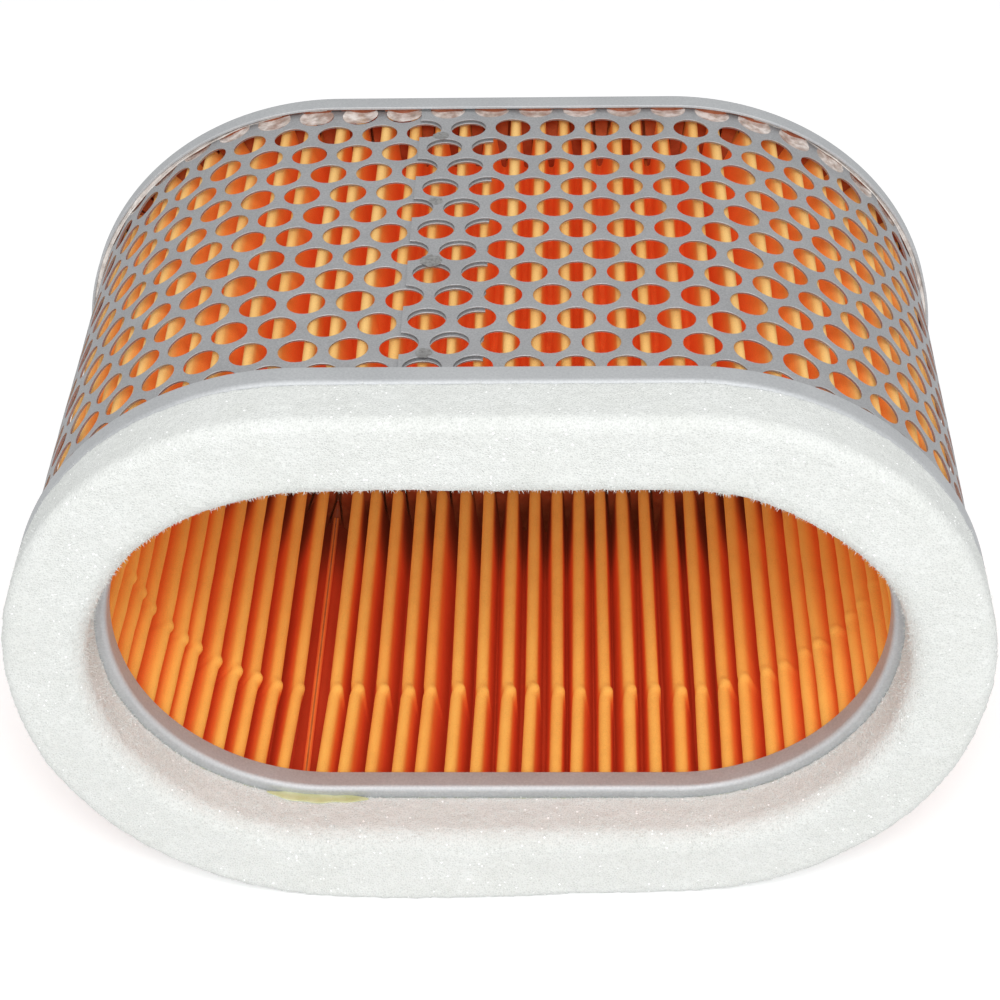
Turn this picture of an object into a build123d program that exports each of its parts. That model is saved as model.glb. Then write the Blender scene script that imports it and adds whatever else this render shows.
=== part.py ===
"""Oval panel air filter: a pleated paper ring bonded between two pressed steel end caps.

The filter lies on its long flat side. X is its width, Y runs from the open end, where the
foam gasket seals, to the closed end, and Z is up. The origin is at the middle of the
footprint, on the surface that the filter rests on. All sizes are in millimetres.

Every ring of the filter is the same stadium: two half circles joined by straight runs.
The runs keep one length, so each ring is named by the radius of its ends alone.
"""
import os
from math import atan2, cos, degrees, pi, sin, sqrt

from build123d import *

# ---------------------------------------------------------------- driving dimensions
cap_end_radius = 51.0          # outer radius of an end cap's round ends
straight_half = 30.0           # half the length of the straight runs
body_length = 92.0             # front face of the front cap to back face of the rear cap

cap_wall = 0.5                 # end cap steel
cap_bend = 1.0                 # outer radius of the cap's pressed corners
flange_depth = 4.2             # outer flange, measured from the cap's flat face
lip_depth = 4.1                # inner flange round the mouth, and depth of the rear recess
mouth_end_radius = 35.3        # end radius of the mouth, inside the inner flange

sheet_wall = 0.5               # perforated steel
sheet_gap = 0.65               # from the cap's outer flange to the perforated sheet
lap_left = -14.8               # X of the edge of the lapped sheet's outer layer
lap_right = -1.6               # X of the edge of its inner layer
lap_gap = 0.1                  # space between the two layers
joggle_length = 5.0            # run in which the outer layer steps up over the inner one
hole_diameter = 6.4
hole_pitch = 8.0               # staggered, so each hole has six neighbours at this distance
first_row = 5.8                # from the front cap's face to the first row of holes
first_column = 0.9             # from the sheet's inner end to its first hole, even rows
wrap_skew = 0.8                # how far the rows climb in one turn round the filter

weld_diameter = 1.8
weld_count = 4

paper_wall = 0.5
paper_gap_outside = 0.35       # from the perforated sheet to the outer folds
paper_gap_inside = 1.2         # from the inner flange to the inner folds
fold_radius = 0.8              # of the paper's middle line round a fold
pleat_count = 86
seam_side_offset = -36.0       # place of the paper's glued seam, along the lower run from its middle
seam_depth = 3.2               # how far the two glued paper ends lie against each other
seam_glue_wall = 0.3

potting_depth = 2.6            # adhesive in each cap's channel
end_embed_gap = 0.5            # adhesive left under the ends of the paper and of the sheet

gasket_thickness = 10.5
gasket_setback = 1.9           # from the cap's mouth to the opening through the gasket
gasket_corner = 0.6            # rounding of the die-cut foam's edges
bond_wall = 0.15               # adhesive film under the gasket
bond_inset_outside = 1.2       # from the cap's outer edge to the film
bond_inset_inside = 0.5        # from the gasket's opening to the film

# ---------------------------------------------------------------- derived places
front_face = -(body_length - gasket_thickness - bond_wall) / 2
rear_face = front_face + body_length
gasket_back = front_face - bond_wall
gasket_face = gasket_back - gasket_thickness
gasket_end_radius = mouth_end_radius + gasket_setback
axis_height = cap_end_radius

flange_inside = cap_end_radius - cap_wall
lip_outside = mouth_end_radius + cap_wall
sheet_radius = flange_inside - sheet_gap - sheet_wall / 2
sheet_inside = sheet_radius - sheet_wall / 2
lap_rise = sheet_wall + lap_gap
paper_outside = sheet_inside - paper_gap_outside
paper_inside = lip_outside + paper_gap_inside
embedded_front = front_face + cap_wall + end_embed_gap
embedded_rear = rear_face - cap_wall - end_embed_gap
embedded_length = embedded_rear - embedded_front

os.makedirs("parts", exist_ok=True)


def across(y):
    """Plane square to the filter's axis at the given Y, its extrusions running towards +Y."""
    return Plane(origin=(0, y, axis_height), x_dir=(1, 0, 0), z_dir=(0, -1, 0))


def stadium(radius, mode=Mode.ADD):
    """A stadium on the current sketch, with round ends of the given radius."""
    return SlotOverall(2 * (straight_half + radius), 2 * radius, mode=mode)


def ring(y, length, outside, inside):
    """A stadium ring on the current part, from Y and on towards the rear."""
    with BuildSketch(across(y)) as outline:
        stadium(outside)
        stadium(inside, mode=Mode.SUBTRACT)
    extrude(outline.sketch, amount=-length)


def plate(y, length, outside):
    """A solid stadium plate on the current part, from Y and on towards the rear."""
    with BuildSketch(across(y)) as outline:
        stadium(outside)
    extrude(outline.sketch, amount=-length)


def round_face(part, y, radius):
    """Round every edge of the part's flat faces that lie at the given Y."""
    faces = part.faces().filter_by(Plane.XZ).filter_by(lambda f: abs(f.center().Y - y) < 1e-4)
    fillet(faces.edges(), radius)


def finish(part, name):
    """Label a finished piece and write it."""
    part.label = name
    export_step(part, f"parts/{name}.step")
    print(name, len(part.solids()), round(part.volume, 1))


# ---------------------------------------------------------------- end caps
with BuildPart() as front_end_cap:
    ring(front_face, cap_wall, cap_end_radius, mouth_end_radius)
    ring(front_face, flange_depth, cap_end_radius, flange_inside)
    ring(front_face, lip_depth, lip_outside, mouth_end_radius)
    round_face(front_end_cap, front_face, cap_bend)
    round_face(front_end_cap, front_face + cap_wall, cap_bend - cap_wall)
finish(front_end_cap.part, "front_end_cap")

with BuildPart() as rear_end_cap:
    ring(rear_face - cap_wall, cap_wall, cap_end_radius, mouth_end_radius)
    ring(rear_face - lip_depth, lip_depth, lip_outside, mouth_end_radius)
    plate(rear_face - lip_depth, cap_wall, lip_outside)
    round_face(rear_end_cap, rear_face - lip_depth, cap_bend)
    round_face(rear_end_cap, rear_face - lip_depth + cap_wall, cap_bend - cap_wall)
    ring(rear_face - flange_depth, flange_depth, cap_end_radius, flange_inside)
    round_face(rear_end_cap, rear_face, cap_bend)
    round_face(rear_end_cap, rear_face - cap_wall, cap_bend - cap_wall)
finish(rear_end_cap.part, "rear_end_cap")


# ---------------------------------------------------------------- perforated sheet
# The sheet starts under the lap on the upper run, goes left and all the way round, and
# steps up by its own thickness to end on top of itself. A place on it is its distance
# from that start, measured along the sheet.
turn_length = 2 * pi * sheet_radius + 4 * straight_half
sheet_length = turn_length + lap_right - lap_left


def sheet_outline(offset):
    """The sheet's path on the current line, moved outwards by the offset. Returns its two ends."""
    radius = sheet_radius + offset
    start = (lap_right, radius)
    step_up = (lap_right + joggle_length, radius)
    on_top = (lap_right, radius + lap_rise)
    end = (lap_left, radius + lap_rise)
    Line(start, (-straight_half, radius))
    ThreePointArc((-straight_half, radius), (-straight_half - radius, 0), (-straight_half, -radius))
    Line((-straight_half, -radius), (straight_half, -radius))
    ThreePointArc((straight_half, -radius), (straight_half + radius, 0), (straight_half, radius))
    Line((straight_half, radius), step_up)
    Line(step_up, on_top)
    Line(on_top, end)
    return start, end


def sheet_place(along, y):
    """Location on the middle of the sheet, with its Z axis square to the sheet."""
    arc = pi * sheet_radius
    left_run = straight_half + lap_right
    turn = 0.0
    if along < left_run:
        x, z = lap_right - along, sheet_radius
    elif along < left_run + arc:
        turn = (along - left_run) / sheet_radius
        x = -straight_half - sheet_radius * sin(turn)
        z = sheet_radius * cos(turn)
    elif along < left_run + arc + 2 * straight_half:
        turn = pi
        x, z = along - left_run - arc - straight_half, -sheet_radius
    elif along < left_run + 2 * arc + 2 * straight_half:
        turn = pi + (along - left_run - arc - 2 * straight_half) / sheet_radius
        x = straight_half - sheet_radius * sin(turn)
        z = sheet_radius * cos(turn)
    else:
        x = left_run + 2 * arc + 3 * straight_half - along
        z = sheet_radius + lap_rise * min(1, max(0, (lap_right + joggle_length - x) / joggle_length))
    return Location((x, y, axis_height + z), (0, -degrees(turn), 0))


# The strip is cut so that a turn holds a whole number of holes, and so the holes of its
# two lapped ends nearly meet. Odd rows are staggered by half a pitch.
row_pitch = hole_pitch * sqrt(3) / 2
column_pitch = turn_length / round(turn_length / hole_pitch)
row_count = int((embedded_rear - front_face - first_row) / row_pitch) + 1
column_count = int((sheet_length + hole_diameter / 2 - first_column) / column_pitch) + 1


def lattice(row, column):
    """Distance along the sheet, and Y, of one hole's middle."""
    stagger = column_pitch / 2 if row % 2 else 0
    along = first_column + stagger + column * column_pitch
    climb = wrap_skew * (along / turn_length - 1)
    return along, front_face + first_row + row * row_pitch + climb


holes = [sheet_place(*lattice(row, column)) for row in range(row_count) for column in range(column_count)]
bend_start = straight_half - hole_diameter / 2
flat_holes = [hole for hole in holes if abs(hole.position.X) < bend_start]
bent_holes = [hole for hole in holes if abs(hole.position.X) >= bend_start]
# A hole's cut reaches half way into the gap between the lapped layers, and deeper on the
# round ends, where the sheet curves away under the tool.
flat_cut = sheet_wall + lap_gap
bend_sag = sheet_radius - sqrt(sheet_radius**2 - hole_diameter**2 / 4)
bent_cut = sheet_wall + 4 * bend_sag

with BuildPart() as perforated_screen:
    with BuildSketch(across(embedded_front)):
        with BuildLine():
            outer_start, outer_end = sheet_outline(sheet_wall / 2)
            inner_start, inner_end = sheet_outline(-sheet_wall / 2)
            Line(outer_start, inner_start)
            Line(outer_end, inner_end)
        make_face()
    extrude(amount=-embedded_length)
    with Locations(*flat_holes):
        Cylinder(hole_diameter / 2, flat_cut, mode=Mode.SUBTRACT)
    with Locations(*bent_holes):
        Cylinder(hole_diameter / 2, bent_cut, mode=Mode.SUBTRACT)
finish(perforated_screen.part, "perforated_screen")

# The welds join the two layers in the middle of the metal between three holes, in the
# last whole column before the lap's outer edge. They are spread evenly over the odd rows.
weld_column = int((sheet_length - first_column) / column_pitch)
last_odd_row = 2 * ((row_count - 1) // 2) - 1
weld_spots = []
for weld in range(weld_count):
    weld_row = 1 + 2 * round(weld * (last_odd_row - 1) / (2 * (weld_count - 1)))
    weld_along, _ = lattice(0, weld_column)
    _, hole_y = lattice(weld_row, weld_column)
    weld_x = sheet_place(weld_along, 0).position.X
    weld_spots.append((weld_x, hole_y - row_pitch / 3 - wrap_skew / 2))

with BuildPart() as seam_spot_welds:
    with BuildSketch(Plane.XY.offset(axis_height + sheet_radius + sheet_wall / 2)):
        with Locations(*weld_spots):
            Circle(weld_diameter / 2)
    extrude(amount=lap_gap)
finish(seam_spot_welds.part, "seam_spot_welds")


# ---------------------------------------------------------------- pleated paper
# The paper is one strip, folded to and fro and closed into a ring by gluing its two ends
# flat against each other. Its folds are spaced evenly along the ring's middle line.
paper_middle = (paper_inside + paper_outside) / 2
paper_turn = 2 * pi * paper_middle + 4 * straight_half
fold_reach = fold_radius + paper_wall / 2
seam_half = (seam_glue_wall + paper_wall) / 2
LEFT, RIGHT = 1, -1


def paper_frame(along):
    """Middle line's point, outward direction and forward direction at a distance from the
    middle of the lower run, going round by the right hand end."""
    arc = pi * paper_middle
    along = (along + straight_half) % paper_turn
    if along < 2 * straight_half:
        center, turn = Vector(along - straight_half, 0), 0
    elif along < 2 * straight_half + arc:
        center, turn = Vector(straight_half, 0), (along - 2 * straight_half) / paper_middle
    elif along < 4 * straight_half + arc:
        center, turn = Vector(3 * straight_half + arc - along, 0), pi
    else:
        center, turn = Vector(-straight_half, 0), pi + (along - 4 * straight_half - arc) / paper_middle
    outward = Vector(sin(turn), -cos(turn))
    forward = Vector(cos(turn), sin(turn))
    return center, outward, forward


def right_of(direction):
    """The direction a quarter turn clockwise."""
    return Vector(direction.Y, -direction.X)


def paper_bends():
    """The centre, turning side and crown direction of each bend of the paper, in order."""
    center, outward, forward = paper_frame(seam_side_offset)
    foot = center + outward * (paper_inside + seam_depth)
    sideways = forward * (seam_half + fold_radius)
    bends = [(foot + sideways, LEFT, None)]
    for fold in range(1, 2 * pleat_count):
        center, outward, forward = paper_frame(seam_side_offset + fold * paper_turn / (2 * pleat_count))
        if fold % 2:
            bends.append((center + outward * (paper_outside - fold_reach), LEFT, outward))
        else:
            bends.append((center + outward * (paper_inside + fold_reach), RIGHT, -outward))
    bends.append((foot - sideways, LEFT, None))
    return bends


def straight_side(one, two, offset):
    """The right hand normal of the straight paper from one bend to the next."""
    gap = two[0] - one[0]
    reach_one = one[1] * fold_radius + offset
    reach_two = two[1] * fold_radius + offset
    share = (reach_one - reach_two) / gap.length
    along = gap.normalized()
    return along * share + right_of(along) * sqrt(1 - share * share)


def paper_outline(offset):
    """The paper's path on the current line, moved to its right by the offset. Returns its ends."""
    bends = paper_bends()
    center, outward, forward = paper_frame(seam_side_offset)
    tip = center + outward * paper_inside
    start = tip + forward * (seam_half - offset)
    end = tip - forward * (seam_half - offset)
    sides = [straight_side(one, two, offset) for one, two in zip(bends, bends[1:])]
    sides = [-forward] + sides + [forward]
    here = start
    for (middle, turn, crown), before, after in zip(bends, sides, sides[1:]):
        radius = fold_radius + turn * offset
        crown = crown or (before + after).normalized()
        into, out_of = middle + before * turn * radius, middle + after * turn * radius
        Line(here, into)
        ThreePointArc(into, middle + crown * radius, out_of)
        here = out_of
    Line(here, end)
    return start, end


with BuildPart() as pleated_paper:
    with BuildSketch(across(embedded_front)):
        with BuildLine():
            right_start, right_end = paper_outline(paper_wall / 2)
            left_start, left_end = paper_outline(-paper_wall / 2)
            Line(right_start, left_start)
            Line(right_end, left_end)
        make_face()
    extrude(amount=-embedded_length)
finish(pleated_paper.part, "pleated_paper")

seam_center, seam_outward, _ = paper_frame(seam_side_offset)
seam_middle = seam_center + seam_outward * (paper_inside + seam_depth / 2)
seam_turn = degrees(atan2(seam_outward.Y, seam_outward.X)) - 90
with BuildPart() as paper_seam_glue:
    with BuildSketch(across(embedded_front)):
        with Locations(Location(seam_middle, (0, 0, seam_turn))):
            Rectangle(seam_glue_wall, seam_depth)
    extrude(amount=-embedded_length)
finish(paper_seam_glue.part, "paper_seam_glue")


# ---------------------------------------------------------------- potting adhesive
# Poured into each cap's channel, it holds the ends of the paper and of the sheet.
def pour(channel_floor, towards):
    """Fill a cap's channel on the current part from its floor, towards +1 rear or -1 front."""
    low = min(channel_floor, channel_floor + towards * potting_depth)
    ring(low, potting_depth, flange_inside, lip_outside)


def seat_ends():
    """Cut the paper, its seam and the sheet out of the potting on the current part."""
    for embedded in (pleated_paper, paper_seam_glue, perforated_screen):
        add(embedded.part, mode=Mode.SUBTRACT)


with BuildPart() as front_potting:
    pour(front_face + cap_wall, 1)
    round_face(front_potting, front_face + cap_wall, cap_bend - cap_wall)
    seat_ends()
finish(front_potting.part, "front_potting")

with BuildPart() as rear_potting:
    pour(rear_face - cap_wall, -1)
    round_face(rear_potting, rear_face - cap_wall, cap_bend - cap_wall)
    seat_ends()
finish(rear_potting.part, "rear_potting")


# ---------------------------------------------------------------- gasket
with BuildPart() as gasket_adhesive:
    ring(gasket_back, bond_wall, cap_end_radius - bond_inset_outside, gasket_end_radius + bond_inset_inside)
finish(gasket_adhesive.part, "gasket_adhesive")

with BuildPart() as foam_gasket:
    ring(gasket_face, gasket_thickness, cap_end_radius, gasket_end_radius)
    round_face(foam_gasket, gasket_face, gasket_corner)
finish(foam_gasket.part, "foam_gasket")
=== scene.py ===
"""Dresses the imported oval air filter: foam gasket, punched screen, pleated paper and their finishes.

Lengths are metres in the filter's own frame: X across it, Y along its axis from the open
end to the closed end, Z up from the surface that it lies on.
"""
import logging
import math
from dataclasses import dataclass
from typing import Callable, Sequence

import bpy
import numpy as np
from mathutils import Matrix, Vector, noise


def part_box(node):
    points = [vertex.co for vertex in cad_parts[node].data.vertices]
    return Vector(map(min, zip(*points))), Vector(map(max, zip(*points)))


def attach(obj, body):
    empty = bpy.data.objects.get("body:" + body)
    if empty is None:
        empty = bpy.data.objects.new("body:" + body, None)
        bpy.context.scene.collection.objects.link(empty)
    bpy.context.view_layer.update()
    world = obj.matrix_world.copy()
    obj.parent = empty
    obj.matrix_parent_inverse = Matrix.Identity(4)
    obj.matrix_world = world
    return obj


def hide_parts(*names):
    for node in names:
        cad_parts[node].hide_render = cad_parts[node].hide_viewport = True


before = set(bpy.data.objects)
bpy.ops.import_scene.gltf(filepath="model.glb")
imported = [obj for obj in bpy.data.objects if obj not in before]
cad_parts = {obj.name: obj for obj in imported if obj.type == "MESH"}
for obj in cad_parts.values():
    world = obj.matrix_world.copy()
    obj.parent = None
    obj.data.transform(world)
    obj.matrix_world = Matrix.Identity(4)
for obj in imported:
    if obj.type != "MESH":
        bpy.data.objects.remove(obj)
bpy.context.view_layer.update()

MM = 0.001
log = logging.getLogger("air_filter")


# ------------------------------------------------------------------ the filter's measures
@dataclass(frozen=True)
class Oval:
    """The stadium that every ring of the filter follows, and where the rings begin and end."""

    straight_half: float
    end_radius: float
    axis_height: float
    front_face: float
    rear_face: float
    gasket_face: float

    @classmethod
    def from_frame(cls) -> "Oval":
        """Read the oval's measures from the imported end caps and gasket."""
        low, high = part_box("front_end_cap")
        end_radius = (high.z - low.z) / 2
        return cls(
            straight_half=(high.x - low.x) / 2 - end_radius,
            end_radius=end_radius,
            axis_height=(high.z + low.z) / 2,
            front_face=low.y,
            rear_face=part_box("rear_end_cap")[1].y,
            gasket_face=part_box("foam_gasket")[0].y,
        )

    def turn_length(self, radius: float) -> float:
        """Length of one turn round the stadium whose ends have the given radius."""
        return 2 * math.pi * radius + 4 * self.straight_half

    def walk(self, along: np.ndarray, reference: float) -> tuple[np.ndarray, np.ndarray, np.ndarray]:
        """Walk round the oval from the middle of its lower run, going by its right hand end.

        Args:
            along: Distances walked, measured on the stadium of the reference radius.
            reference: End radius of the stadium on which distances are measured.

        Returns:
            The X of the nearest point of the straight spine, and the outward direction's X and Z.
        """
        half, arc = self.straight_half, math.pi * reference
        walked = np.mod(np.asarray(along, float) + half, 4 * half + 2 * arc)
        stops = [walked < 2 * half, walked < 2 * half + arc, walked < 4 * half + arc]
        spine = np.select(stops, [walked - half, half, 3 * half + arc - walked], -half)
        swing = (walked - 4 * half - arc) / reference + math.pi
        turned = np.select(stops, [0.0, (walked - 2 * half) / reference, math.pi], swing)
        return spine, np.sin(turned), -np.cos(turned)

    def place(self, along: np.ndarray, radius: np.ndarray, y: np.ndarray, reference: float) -> np.ndarray:
        """Points at the given distances round the oval, at the given radius and Y, as rows of X, Y, Z."""
        spine, out_x, out_z = self.walk(along, reference)
        height = self.axis_height + radius * out_z
        return np.stack([spine + radius * out_x, np.broadcast_to(y, spine.shape), height], axis=-1)


# ------------------------------------------------------------------ modelling helpers
def deselect_all() -> None:
    """Leave nothing selected, because an operator acts on all that is."""
    bpy.ops.object.select_all(action="DESELECT")


def take(piece: bpy.types.Object) -> None:
    """Make one piece the only selected and the active one."""
    deselect_all()
    piece.select_set(True)
    bpy.context.view_layer.objects.active = piece


def newest(name: str) -> bpy.types.Object:
    """Name the piece that the last primitive operator made, and return it."""
    piece = bpy.context.active_object
    piece.name = name
    piece.data.name = name
    return piece


def read_points(piece: bpy.types.Object) -> np.ndarray:
    """The piece's vertices as rows of X, Y, Z."""
    points = np.empty(len(piece.data.vertices) * 3)
    piece.data.vertices.foreach_get("co", points)
    return points.reshape(-1, 3)


def write_points(piece: bpy.types.Object, points: np.ndarray) -> None:
    """Move the piece's vertices to the given rows of X, Y, Z."""
    piece.data.vertices.foreach_set("co", np.ascontiguousarray(points, np.float32).ravel())
    piece.data.update()


def read_faces(piece: bpy.types.Object, quantity: str) -> np.ndarray:
    """The center or the normal of each of the piece's faces, as rows of X, Y, Z."""
    values = np.empty(len(piece.data.polygons) * 3)
    piece.data.polygons.foreach_get(quantity, values)
    return values.reshape(-1, 3)


def edit(piece: bpy.types.Object, *steps: Callable[[], object]) -> None:
    """Select all of the piece in edit mode and run mesh operators on it, each in a call of its own."""
    take(piece)
    bpy.ops.object.mode_set(mode="EDIT")
    bpy.ops.mesh.select_all(action="SELECT")
    for step in steps:
        step()
    bpy.ops.object.mode_set(mode="OBJECT")


def face_outwards(piece: bpy.types.Object) -> None:
    """Turn every face of the piece outwards."""
    edit(piece, lambda: bpy.ops.mesh.normals_make_consistent(inside=False))


def face_up(piece: bpy.types.Object) -> None:
    """Turn a flat piece's faces upwards."""
    if read_faces(piece, "normal")[:, 2].sum() < 0:
        edit(piece, lambda: bpy.ops.mesh.flip_normals())


def apply_modifier(piece: bpy.types.Object, kind: str, **settings: object) -> None:
    """Add a modifier of the given kind with its settings, and apply it."""
    take(piece)
    modifier = piece.modifiers.new(kind.lower(), kind)
    for name, value in settings.items():
        setattr(modifier, name, value)
    bpy.ops.object.modifier_apply(modifier=modifier.name)


def smooth(piece: bpy.types.Object, angle: float = 35.0) -> None:
    """Shade the piece smooth, except over edges sharper than the angle in degrees."""
    take(piece)
    bpy.ops.object.shade_smooth_by_angle(angle=math.radians(angle))


def settle(piece: bpy.types.Object, slot: str, finish: bpy.types.Material, *nodes: str) -> bpy.types.Object:
    """Give a finished piece its material and body, and hide the CAD nodes that it stands for."""
    piece.data.materials.clear()
    piece.data.materials.append(finish)
    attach(piece, "root")
    if nodes:
        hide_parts(*nodes)
    log.info("%s: %d faces", piece.name, len(piece.data.polygons))
    return piece


def ridge(across: np.ndarray, swells: Sequence[tuple[float, float, float]]) -> np.ndarray:
    """The height at each place of rounded swells, each with its middle, reach and height."""
    return sum(height * np.exp(-(((across - middle) / reach) ** 2)) for middle, reach, height in swells)


def hills(points: np.ndarray, size: float, seed: float) -> np.ndarray:
    """Smooth noise from about -1 to 1 at each point, with hills of the given size."""
    shift = Vector((seed * 17.3, seed * 5.1, seed * 9.7))
    return np.array([noise.noise(Vector(point) / size + shift) for point in points])


def rounded(corners: Sequence[tuple[float, float, float]], closed: bool = True, steps: int = 6) -> np.ndarray:
    """A section's outline with its corners rounded.

    Args:
        corners: Each corner's two coordinates and its rounding radius.
        closed: Whether the outline returns to its first corner.
        steps: Lengths of line in each rounded corner.

    Returns:
        Rows of the two coordinates, the first repeated at the end of a closed outline.
    """
    places = np.array([corner[:2] for corner in corners], float)
    outline = []
    for index, (x, y, radius) in enumerate(corners):
        here = np.array([x, y])
        before = places[index - 1] - here
        after = places[(index + 1) % len(corners)] - here
        before, after = before / np.linalg.norm(before), after / np.linalg.norm(after)
        if radius <= 0 or (not closed and index in (0, len(corners) - 1)):
            outline.append(here)
            continue
        half = math.acos(float(np.clip(before @ after, -1, 1))) / 2
        inward = (before + after) / np.linalg.norm(before + after)
        center = here + inward * radius / math.sin(half)
        first = here + before * radius / math.tan(half) - center
        last = here + after * radius / math.tan(half) - center
        for share in np.linspace(0, 1, steps + 1):
            ray = first * (1 - share) + last * share
            outline.append(center + ray / np.linalg.norm(ray) * radius)
    if closed:
        outline.append(outline[0])
    return np.array(outline)


def resample(outline: np.ndarray, step: float) -> np.ndarray:
    """The same outline with its points set evenly, about one step apart."""
    walked = np.concatenate([[0], np.cumsum(np.linalg.norm(np.diff(outline, axis=0), axis=1))])
    even = np.linspace(0, walked[-1], round(walked[-1] / step) + 1)
    return np.stack([np.interp(even, walked, outline[:, 0]), np.interp(even, walked, outline[:, 1])], axis=1)


def sweep(
    oval: Oval, name: str, section: np.ndarray, around: int,
    shape: Callable[[np.ndarray, np.ndarray, np.ndarray], tuple[np.ndarray, np.ndarray]] | None = None,
) -> bpy.types.Object:
    """Wrap a grid round the oval so that each of its lines across follows a section.

    Args:
        oval: The oval to follow.
        name: The piece's name.
        section: Rows of end radius and Y.
        around: Steps in one turn.
        shape: Moves the points: given their distance round the oval, radius and Y, it returns the last two.

    Returns:
        The closed ring.
    """
    bpy.ops.mesh.primitive_grid_add(x_subdivisions=around, y_subdivisions=len(section) - 1, size=1)
    piece = newest(name)
    flat = read_points(piece)
    row = np.rint((flat[:, 1] + 0.5) * (len(section) - 1)).astype(int)
    column = np.rint((flat[:, 0] + 0.5) * around).astype(int) % around
    along = column / around * oval.turn_length(oval.end_radius)
    radius, y = section[row, 0], section[row, 1]
    if shape:
        radius, y = shape(along, radius, y)
    write_points(piece, oval.place(along, radius, y, oval.end_radius))
    edit(piece, lambda: bpy.ops.mesh.remove_doubles(threshold=0.0005 * MM))
    face_outwards(piece)
    return piece


# ------------------------------------------------------------------ end caps
@dataclass
class EndCaps:
    """The two pressed steel caps: an open channel at the front, a recessed pan at the rear."""

    oval: Oval
    wall: float = 0.5 * MM
    bend: float = 1.0 * MM
    flange: float = 4.2 * MM
    lip: float = 4.1 * MM
    mouth: float = 35.3 * MM
    edge: float = 0.12 * MM
    around: int = 300

    def channel(self, face: float, back: float) -> list[tuple[float, float, float]]:
        """Corners of the pressed channel's section, from its mouth's outside round to its inside.

        Args:
            face: Y of the cap's flat face.
            back: 1 where the channel opens towards +Y, and -1 where towards -Y.

        Returns:
            Corners for rounded().
        """
        outer, inner = self.oval.end_radius, self.mouth
        wall, bend, edge = self.wall, self.bend, self.edge
        return [
            (inner, face, bend),
            (outer, face, bend),
            (outer, face + back * self.flange, edge),
            (outer - wall, face + back * self.flange, edge),
            (outer - wall, face + back * wall, bend - wall),
            (inner + wall, face + back * wall, bend - wall),
        ]

    def front(self, finish: bpy.types.Material) -> bpy.types.Object:
        """The front cap, open at its mouth."""
        face = self.oval.front_face
        end = face + self.lip
        lip = [(self.mouth + self.wall, end, self.edge), (self.mouth, end, self.edge)]
        corners = self.channel(face, 1) + lip
        cap = sweep(self.oval, "front_cap_steel", rounded(corners), self.around)
        smooth(cap)
        return settle(cap, "cap_steel", finish, "front_end_cap")

    def rear(self, finish: bpy.types.Material) -> bpy.types.Object:
        """The rear cap, whose recessed pan closes the filter."""
        face = self.oval.rear_face
        pan = face - self.lip
        wall, bend = self.wall, self.bend
        corners = [(0, pan + wall, 0), (self.mouth, pan + wall, bend - wall)] + self.channel(face, -1)
        corners += [(self.mouth + wall, pan, bend), (0, pan, 0)]
        cap = sweep(self.oval, "rear_cap_steel", rounded(corners, closed=False), self.around)
        smooth(cap)
        return settle(cap, "cap_steel", finish, "rear_end_cap")


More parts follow.
